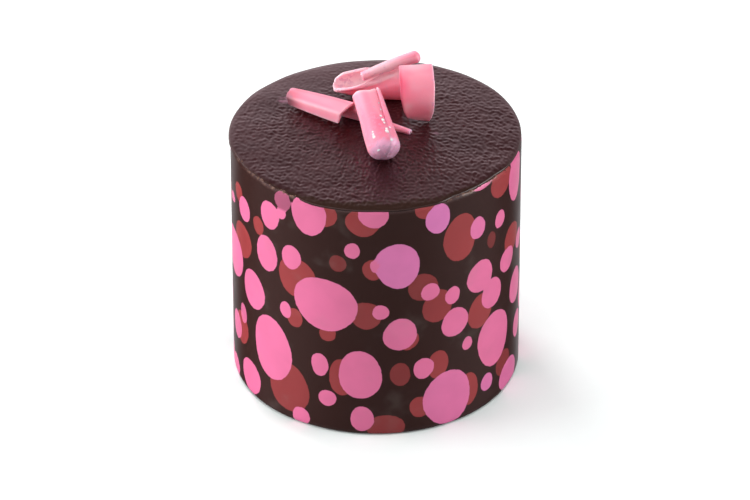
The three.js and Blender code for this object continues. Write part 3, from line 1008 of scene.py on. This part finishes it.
class CAKE_OT_beads(Operator):
    """Adds the beads of moisture on the front curl"""

    bl_idname = "cake.add_beads"
    bl_label = "Add moisture beads"

    def execute(self, context):
        """A bead is a ball pressed to half its height, drawn out along the curl, and sunk in to its
        middle."""
        shape = CURLS[BEAD_CURL]
        along, left, up = curl_frame(shape)
        sweep = shape["to"][0] - shape["from"][0]
        ball = ball_grid(16, 9)
        beads = []
        for run, degrees, width in BEADS:
            spin = math.radians(degrees)
            normal = math.sin(spin) * left + math.cos(spin) * up
            axes = np.stack([BEAD_STRETCH * along, np.cross(normal, along), BEAD_FLATNESS * normal])
            v = np.array(run / shape["length"])
            u = np.array(((degrees - shape["from"][0]) % 360) / sweep)
            _, _, reach, dome = curl_middle(shape, u, v)
            reach = reach + shape["thickness"] / 2
            centre = curl_place(shape, np.array(float(run)), np.array(spin), reach, dome, v)
            beads.append(centre + width / 2 * ball @ axes)
        piece = add_turned("moisture_beads", beads)
        finish_piece(piece, water_material(), "pink_chocolate")
        return {"FINISHED"}


class CAKE_OT_crumbs(Operator):
    """Adds the flakes along the collar's broken top edge"""

    bl_idname = "cake.add_crumbs"
    bl_label = "Add rim crumbs"

    def execute(self, context):
        """A crumb is a coarse ball with a jagged radius, squeezed by three random factors. They lie
        thickest where the edge is bared."""
        random = np.random.RandomState(53)
        ball = ball_grid(6, 5)
        crumbs = []
        for low, high, share in CRUMB_RANGES:
            for _ in range(int(sizes().crumbs * share)):
                angle = math.radians(random.uniform(low, high) - 90)
                size = random.uniform(*CRUMB_SIZES) * (1, 1.6, 0.6)[random.randint(3)] ** 0.5
                radius = CAKE_RADIUS - random.uniform(*CRUMB_DEPTHS)
                height = COLLAR_TOP + edge_rise(angle) + random.uniform(-0.06, 0.06)
                squeeze = random.uniform(0.5, 1.2, 3) * (1, 1, 0.6)
                jag = 1 + random.uniform(-0.25, 0.25, ball.shape[:2])[..., None]
                jag[:, 0] = jag[0, 0]
                jag[:, -1] = jag[0, -1]
                crumbs.append(ring_points(radius, angle, height) + ball * jag * squeeze * size)
        piece = add_turned("rim_crumbs", crumbs)
        finish_piece(piece, crumb_material(), "collar")
        return {"FINISHED"}


def add_softbox(name, power, place, width, height, mirrored):
    """A rectangular area light at a place in metres, turned to face the cake."""
    light = bpy.data.lights.new(name, "AREA")
    light.shape = "RECTANGLE"
    light.size = width
    light.size_y = height
    light.energy = power
    lamp = bpy.data.objects.new(name, light)
    lamp.location = place
    aim = Vector(SOFTBOX_TARGET) - Vector(place)
    lamp.rotation_euler = aim.to_track_quat("-Z", "Y").to_euler()
    lamp.visible_glossy = mirrored
    bpy.context.scene.collection.objects.link(lamp)


class CAKE_OT_stage(Operator):
    """Adds the floor, the lights, the room and the camera"""

    bl_idname = "cake.add_stage"
    bl_label = "Add stage"

    def execute(self, context):
        scene = context.scene
        stage = scene.cake_stage
        corners = FLOOR_REACH * np.array([[-1, -1, 0], [1, -1, 0], [1, 1, 0], [-1, 1, 0]])
        mesh = bpy.data.meshes.new("floor")
        mesh.from_pydata(corners.tolist(), [], [(0, 1, 2, 3)])
        floor = bpy.data.objects.new("floor", mesh)
        scene.collection.objects.link(floor)
        floor.data.materials.append(floor_material())
        floor.visible_glossy = False
        for name, power, *box in SOFTBOXES:
            add_softbox(name, getattr(stage, power), *box)
        add_room(scene, stage.room)
        scene.view_settings.view_transform = "Standard"
        add_camera(scene)
        return {"FINISHED"}


def add_room(scene, strength):
    """The world: plain white where the camera sees it and a weak even light on everything. For reflections
    it is a bright rosy horizon, brighter at the left, that dims overhead, over a white wall low behind and
    faint cards low in front and at the sides."""
    world = bpy.data.worlds.new("white_room")
    scene.world = world
    world.use_nodes = True
    add = partial(add_node, world.node_tree)
    ray = add("LightPath", {}).outputs
    direction = add("TexCoord", {}).outputs["Generated"]
    sides = add("SeparateXYZ", {}, direction).outputs
    high = add("MapRange", SMOOTH, sides["Z"], 0.2, 0.8, 1.68, 0.12)
    across = add("MapRange", SMOOTH, sides["X"], -0.6, 0.6, 1.35, 0.65)
    above = add("Math", TIMES, high, across)
    front = add("MapRange", SMOOTH, sides["Y"], -0.75, -0.3, 0.02, 0.2)
    beside = add("MapRange", SMOOTH, sides["Y"], 0.1, 0.5, 1.0, 0.1)
    wall = add("MapRange", SMOOTH, sides["Y"], 0.62, 0.84, 0.0, 0.6)
    card = add("Math", TIMES, front, beside)
    below = add("Math", PLUS, card, wall)
    lifted = add("MapRange", SMOOTH, sides["Z"], -0.12, 0.04)
    mirrored = add("Mix", {}, lifted, below, above)
    power = add("Mix", {}, ray["Is Glossy Ray"], strength, mirrored)
    rosy = add("Mix", COLOUR, lifted, (1, 0.97, 1, 1), (1, 0.77, 0.83, 1))
    tint = add("Mix", COLOUR, ray["Is Glossy Ray"], (0.9, 1, 0.98, 1), rosy)
    soft = add("Background", {}, tint, power)
    white = add("Background", {}, (1, 1, 1, 1), 1.2)
    both = add("MixShader", {}, ray["Is Camera Ray"], soft, white)
    feed(world.node_tree.nodes["World Output"], Surface=both)


def add_camera(scene):
    """The camera looks along +Y and down, from the distance and height that the photograph's outline
    fits."""
    data = bpy.data.cameras.new("camera")
    data.sensor_width = SENSOR_WIDTH
    data.lens = SENSOR_WIDTH * CAMERA_FOCAL_PIXELS / IMAGE_WIDTH
    data.shift_x = -CAMERA_CENTRE_OFFSET_PIXELS / IMAGE_WIDTH
    data.clip_end = 20
    camera = bpy.data.objects.new("camera", data)
    elevation = math.radians(CAMERA_ELEVATION)
    target = Vector((0, 0, CAMERA_TARGET_HEIGHT * MM))
    back = Vector((0, -math.cos(elevation), math.sin(elevation)))
    turn = back.to_track_quat("Z", "Y").to_matrix().to_4x4()
    camera.matrix_world = Matrix.Translation(target + back * CAMERA_DISTANCE * MM) @ turn
    scene.collection.objects.link(camera)
    scene.camera = camera


class CAKE_PT_panel(Panel):
    """Lists the cake's pieces, sizes and colours"""

    bl_label = "Cake"
    bl_idname = "CAKE_PT_panel"
    bl_space_type = "VIEW_3D"
    bl_region_type = "UI"
    bl_category = "Cake"

    def draw(self, context):
        for operator in OPERATORS:
            self.layout.operator(operator.bl_idname)
        for group in (context.scene.cake_sizes, context.scene.cake_colours, context.scene.cake_stage):
            column = self.layout.column()
            for key in group.__annotations__:
                column.prop(group, key)


OPERATORS = (
    CAKE_OT_ganache,
    CAKE_OT_collar,
    CAKE_OT_curls,
    CAKE_OT_beads,
    CAKE_OT_crumbs,
    CAKE_OT_stage,
)
CLASSES = (CakeSizes, CakeColours, CakeStage, *OPERATORS, CAKE_PT_panel)


def register():
    for each in CLASSES:
        bpy.utils.register_class(each)
    bpy.types.Scene.cake_sizes = PointerProperty(type=CakeSizes)
    bpy.types.Scene.cake_colours = PointerProperty(type=CakeColours)
    bpy.types.Scene.cake_stage = PointerProperty(type=CakeStage)


def unregister():
    del bpy.types.Scene.cake_stage
    del bpy.types.Scene.cake_colours
    del bpy.types.Scene.cake_sizes
    for each in reversed(CLASSES):
        bpy.utils.unregister_class(each)


def main():
    register()
    bpy.ops.cake.add_ganache()
    bpy.ops.cake.add_collar()
    bpy.ops.cake.add_curls()
    bpy.ops.cake.add_beads()
    bpy.ops.cake.add_crumbs()
    bpy.ops.cake.add_stage()


if __name__ == "__main__":
    main()
